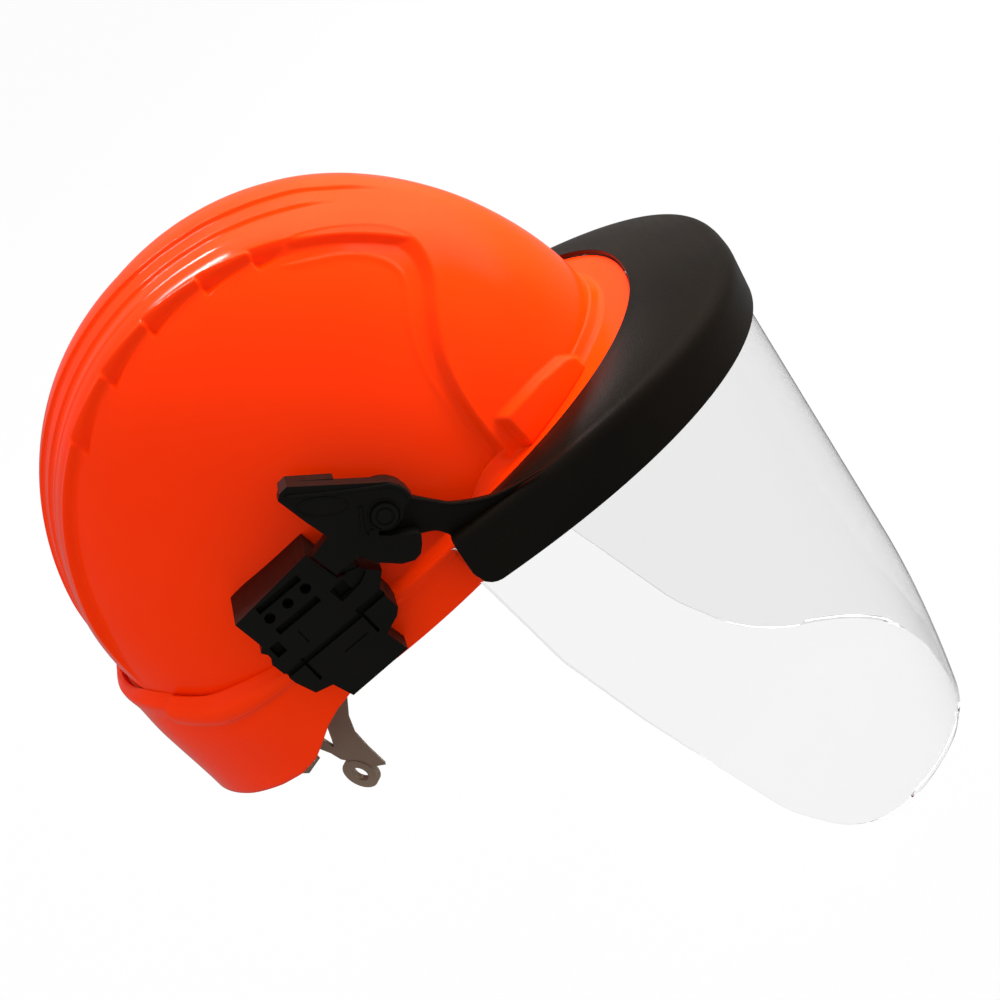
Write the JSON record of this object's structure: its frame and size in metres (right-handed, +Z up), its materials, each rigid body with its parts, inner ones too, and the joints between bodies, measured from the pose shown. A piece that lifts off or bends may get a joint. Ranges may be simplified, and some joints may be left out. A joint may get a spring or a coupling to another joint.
{
  "type": "hard hat with face shield",
  "caption": "Safety hard hat with a ratchet harness and a side-mounted brow guard and clear face shield that swing up together.",
  "frame": {"origin": "middle of the dome's base plane, where the wearer's head sits", "axes": "+X to the wearer's left, -Y to the front, +Z up; upright as worn with the visor down"},
  "size_m": [0.252, 0.3246, 0.3811],
  "materials": {
    "shell_orange": "glossy moulded ABS",
    "black_nylon": "satin moulded nylon",
    "guard_black": "satin moulded plastic",
    "clear_pane": "clear polycarbonate",
    "harness_grey": "fine textured polyethylene",
    "webbing": "woven polyester",
    "pad_foam": "brushed fabric over foam",
    "steel": "plated"
  },
  "bodies": {
    "hat": {"shell": "shell_orange", "adaptor_left": "black_nylon", "adaptor_right": "black_nylon", "bracket_left": "black_nylon", "bracket_right": "black_nylon", "pivot_pin_left": "black_nylon", "pivot_pin_right": "black_nylon", "pivot_washers": "steel", "headband": "harness_grey", "sweatband": "pad_foam", "strap_cross": "webbing", "strap_diagonal_a": "webbing", "strap_diagonal_b": "webbing", "hanger_keys": "harness_grey", "yoke_left": "harness_grey", "yoke_right": "harness_grey", "yoke_rivets": "harness_grey", "ratchet_base": "harness_grey", "ratchet_cover": "harness_grey", "ratchet_screws": "steel", "detent_spring": "steel", "nape_pad": "pad_foam"},
    "visor": {"brow_guard": "guard_black", "shield": "clear_pane", "shield_studs": "black_nylon"},
    "knob": {"ratchet_knob": "black_nylon", "ratchet_pinion": "harness_grey"},
    "tail_left": {"tail_left": "harness_grey"},
    "tail_right": {"tail_right": "harness_grey"}
  },
  "joints": [
    {"name": "visor_flip", "type": "hinge", "parent": "hat", "child": "visor", "pos_m": [0, -0.0223, 0.0312], "axis": [-1, 0, 0], "range_deg": [0, 100]},
    {"name": "ratchet_knob_turn", "type": "hinge", "parent": "hat", "child": "knob", "pos_m": [0, 0.103, -0.052], "axis": [0, -1, 0], "range_deg": [0, 180]},
    {"name": "tail_left_draw", "type": "hinge", "parent": "hat", "child": "tail_left", "pos_m": [0, 0.022, -0.052], "axis": [0, 0, 1], "range_deg": [0, 9.1]},
    {"name": "tail_right_draw", "type": "hinge", "parent": "hat", "child": "tail_right", "pos_m": [0, 0.022, -0.052], "axis": [0, 0, -1], "range_deg": [0, 9.1]}
  ],
  "couplings": [
    {"joint": "tail_left_draw", "follows": "ratchet_knob_turn", "ratio": 0.050157},
    {"joint": "tail_right_draw", "follows": "ratchet_knob_turn", "ratio": 0.04899}
  ]
}
